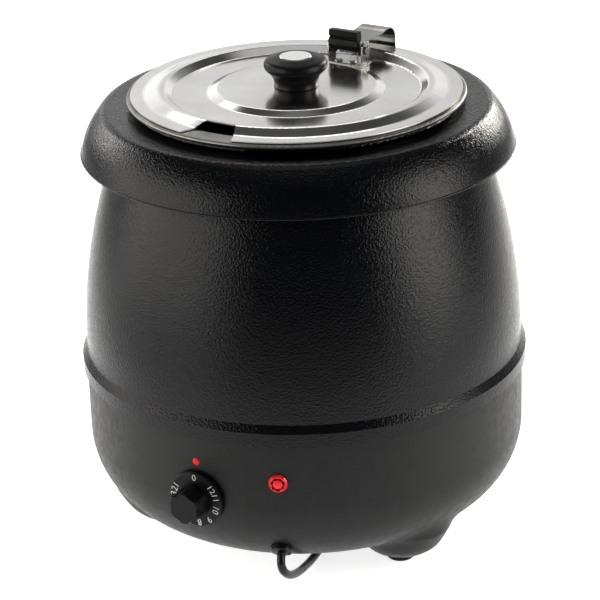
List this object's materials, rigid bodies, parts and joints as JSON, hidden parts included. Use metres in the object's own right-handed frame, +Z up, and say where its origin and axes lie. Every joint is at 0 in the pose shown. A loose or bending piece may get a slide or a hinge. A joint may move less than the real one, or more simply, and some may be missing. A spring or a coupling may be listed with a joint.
{
  "type": "soup kettle",
  "caption": "Round electric soup kettle: black barrel body with overhanging collar, dial-controlled base on short feet, and a hinged steel lid with a ladle notch.",
  "frame": {"origin": "on the floor, on the axis of the kettle", "axes": "+Z up along the kettle's axis, -Y towards the front with the dial and the lamp, +X to the right seen from the front"},
  "size_m": [0.3399, 0.3956, 0.373],
  "materials": {
    "black_coat": "hammered black powder coat",
    "base_black": "fine-grained moulded black",
    "pad_rubber": "matte black rubber",
    "zinc_steel": "zinc-plated steel",
    "polished_stainless": "polished stainless steel",
    "satin_stainless": "satin stainless steel",
    "spring_steel": "bright spring steel wire",
    "knob_black": "polished phenolic black",
    "cap_bright": "bright pressed disc",
    "grip_black": "satin moulded black",
    "dial_black": "satin moulded black with pale figures",
    "dot_red": "red enamel",
    "lens_red": "faceted red lens",
    "holder_white": "white nylon",
    "thermostat_case": "brown phenolic",
    "heater_steel": "heat-tinted steel sheath",
    "bulb_copper": "drawn copper",
    "cutout_can": "pressed can",
    "gland_black": "moulded nylon",
    "cord_black": "smooth flexible sheath",
    "tie_black": "soft strap",
    "plug_black": "moulded soft plug",
    "pin_brass": "bright brass"
  },
  "bodies": {
    "kettle": {"base_bowl": "base_black", "foot_pads": "pad_rubber", "foot_screws": "zinc_steel", "jacket": "black_coat", "collar": "black_coat", "collar_screws": "zinc_steel", "water_pan": "satin_stainless", "heater": "heater_steel", "heater_clamp": "zinc_steel", "tie_stud": "zinc_steel", "tie_nuts": "zinc_steel", "thermostat": "thermostat_case", "thermostat_screws": "zinc_steel", "sensing_bulb": "bulb_copper", "thermal_cutout": "cutout_can", "terminal_block": "holder_white", "lamp_lens": "lens_red", "lamp_holder": "holder_white", "index_dot": "dot_red", "cord_gland": "gland_black", "cord_run": "cord_black", "cord_coil": "cord_black", "cord_tie": "tie_black", "plug_body": "plug_black", "plug_pins": "pin_brass"},
    "insert_pot": {"pot_floor": "satin_stainless", "pot_wall": "satin_stainless", "pot_rim": "satin_stainless"},
    "lid": {"lid": "polished_stainless", "lid_knob": "knob_black", "knob_cap": "cap_bright", "knob_screw": "zinc_steel", "hinge_bracket": "satin_stainless", "bracket_rivets": "zinc_steel", "hinge_pin": "zinc_steel", "clip_spring": "spring_steel"},
    "hinge_clip": {"hinge_clip": "satin_stainless", "thumb_grip": "grip_black"},
    "dial": {"thermostat_dial": "dial_black", "thermostat_shaft": "zinc_steel"}
  },
  "joints": [
    {"name": "insert_lift", "type": "slide", "parent": "kettle", "child": "insert_pot", "axis": [0, 0, 1], "range_m": [0, 0.28]},
    {"name": "lid_hinge", "type": "hinge", "parent": "insert_pot", "child": "lid", "pos_m": [0.02993, 0.12003, 0.345], "axis": [-0.9703, 0.2419, 0], "range_deg": [0, 92]},
    {"name": "clip_release", "type": "hinge", "parent": "lid", "child": "hinge_clip", "pos_m": [0.01839, 0.07374, 0.3575], "axis": [0.9703, -0.2419, 0], "range_deg": [0, 15], "stiffness_Nm_per_rad": 0.5, "springref_deg": -17.19, "deforming": ["clip_spring"]},
    {"name": "dial_turn", "type": "hinge", "parent": "kettle", "child": "dial", "pos_m": [-0.03127, -0.1671, 0.088], "axis": [0.184, 0.9829, 0], "range_deg": [0, 310]}
  ]
}
